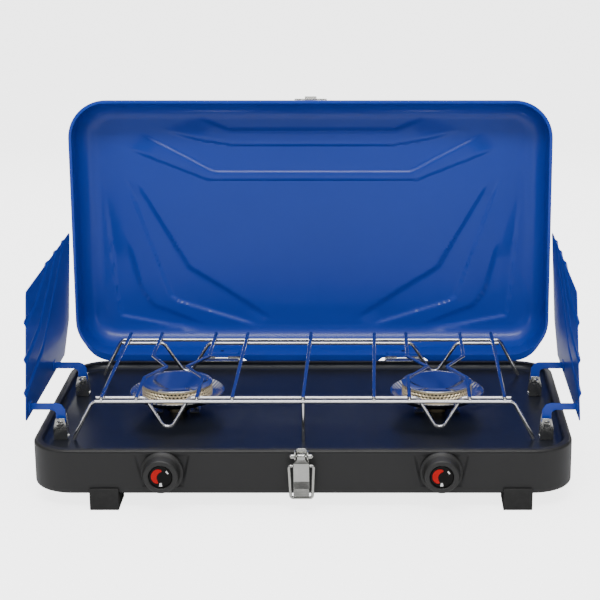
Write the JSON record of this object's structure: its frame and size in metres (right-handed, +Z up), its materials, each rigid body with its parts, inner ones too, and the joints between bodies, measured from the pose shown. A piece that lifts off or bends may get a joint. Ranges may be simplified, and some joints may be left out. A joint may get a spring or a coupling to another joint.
{
  "type": "camping stove",
  "caption": "Folding suitcase camping stove with a hinged lid, side wind screens, lift-off wire grate, gas burners, control knobs and a draw latch.",
  "frame": {"origin": "centre of the whole box in plan, on the surface that the feet stand on", "axes": "+X to the stove's right as seen from the front, +Y to the back, +Z up; the knobs face -Y"},
  "size_m": [0.556, 0.3727, 0.3601],
  "materials": {
    "black_enamel": "satin black baked enamel on pressed steel",
    "deck_gloss": "gloss black enamel on pressed steel",
    "blue_paint": "semi-gloss blue powder coat on pressed steel",
    "chrome": "bright chrome plate",
    "zinc": "bright zinc plated steel",
    "brass": "pale machined brass",
    "aluminium": "plain drawn aluminium",
    "black_plastic": "satin black moulded plastic",
    "knob_gloss": "gloss black moulded plastic",
    "rubber": "moulded black rubber"
  },
  "bodies": {
    "base": {"base_case": "black_enamel", "deck_tray": "deck_gloss", "foot_front_left": "rubber", "foot_front_right": "rubber", "foot_rear_left": "rubber", "foot_rear_right": "rubber", "burner_bowl_left": "chrome", "burner_cap_left": "chrome", "burner_head_left": "brass", "valve_left": "brass", "burner_strap_left": "zinc", "hinge_leaf_case_left": "zinc", "hinge_pin_left": "zinc", "mixing_tube_left": "aluminium", "burner_bowl_right": "chrome", "burner_cap_right": "chrome", "burner_head_right": "brass", "valve_right": "brass", "burner_strap_right": "zinc", "hinge_leaf_case_right": "zinc", "hinge_pin_right": "zinc", "mixing_tube_right": "aluminium", "screen_clip_front_left": "zinc", "screen_clip_front_right": "zinc", "screen_clip_rear_left": "zinc", "screen_clip_rear_right": "zinc", "screen_rivet_front_left": "zinc", "screen_rivet_front_right": "zinc", "screen_rivet_rear_left": "zinc", "screen_rivet_rear_right": "zinc", "manifold_pipe": "aluminium", "gas_inlet": "brass", "latch_plate": "zinc"},
    "lid": {"lid_shell": "blue_paint", "lid_catch": "zinc", "hinge_leaf_lid_left": "blue_paint", "hinge_leaf_lid_right": "blue_paint"},
    "screen_left": {"wind_screen_left": "blue_paint"},
    "screen_right": {"wind_screen_right": "blue_paint"},
    "knob_left": {"knob_left": "black_plastic", "knob_centre_left": "knob_gloss", "valve_stem_left": "zinc"},
    "knob_right": {"knob_right": "black_plastic", "knob_centre_right": "knob_gloss", "valve_stem_right": "zinc"},
    "latch_lever": {"latch_lever": "zinc"},
    "latch_bail": {"latch_bail": "zinc"},
    "grate": {"grate_cross_wire_1": "chrome", "grate_cross_wire_2": "chrome", "grate_cross_wire_3": "chrome", "grate_cross_wire_4": "chrome", "grate_cross_wire_5": "chrome", "grate_cross_wire_6": "chrome", "grate_cross_wire_7": "chrome", "grate_cross_wire_8": "chrome", "grate_cross_wire_9": "chrome", "grate_dip_rail_front": "chrome", "grate_dip_rail_rear": "chrome", "grate_leg_rail_front": "chrome", "grate_leg_rail_rear": "chrome"}
  },
  "joints": [
    {"name": "lid_hinge", "type": "hinge", "parent": "base", "child": "lid", "pos_m": [0, 0.12595, 0.0605], "axis": [-1, 0, 0], "range_deg": [-75, 0]},
    {"name": "screen_left_fold", "type": "hinge", "parent": "base", "child": "screen_left", "pos_m": [-0.2455, -0.02405, 0.0715], "axis": [0, -1, 0], "range_deg": [-86, 0]},
    {"name": "screen_right_fold", "type": "hinge", "parent": "base", "child": "screen_right", "pos_m": [0.2455, -0.02405, 0.0715], "axis": [0, 1, 0], "range_deg": [-86, 0]},
    {"name": "knob_left_turn", "type": "hinge", "parent": "base", "child": "knob_left", "pos_m": [-0.1375, -0.17005, 0.04], "axis": [0, -1, 0], "range_deg": [0, 150]},
    {"name": "knob_right_turn", "type": "hinge", "parent": "base", "child": "knob_right", "pos_m": [0.1375, -0.17005, 0.04], "axis": [0, -1, 0], "range_deg": [0, 150]},
    {"name": "latch_lever_swing", "type": "hinge", "parent": "base", "child": "latch_lever", "pos_m": [0, -0.17605, 0.058], "axis": [-1, 0, 0], "range_deg": [0, 150]},
    {"name": "latch_bail_swing", "type": "hinge", "parent": "latch_lever", "child": "latch_bail", "pos_m": [0, -0.17945, 0.0495], "axis": [-1, 0, 0], "range_deg": [0, 60]},
    {"name": "grate_lift_off", "type": "slide", "parent": "base", "child": "grate", "axis": [0, 0, 1], "range_m": [0, 0.12]}
  ]
}
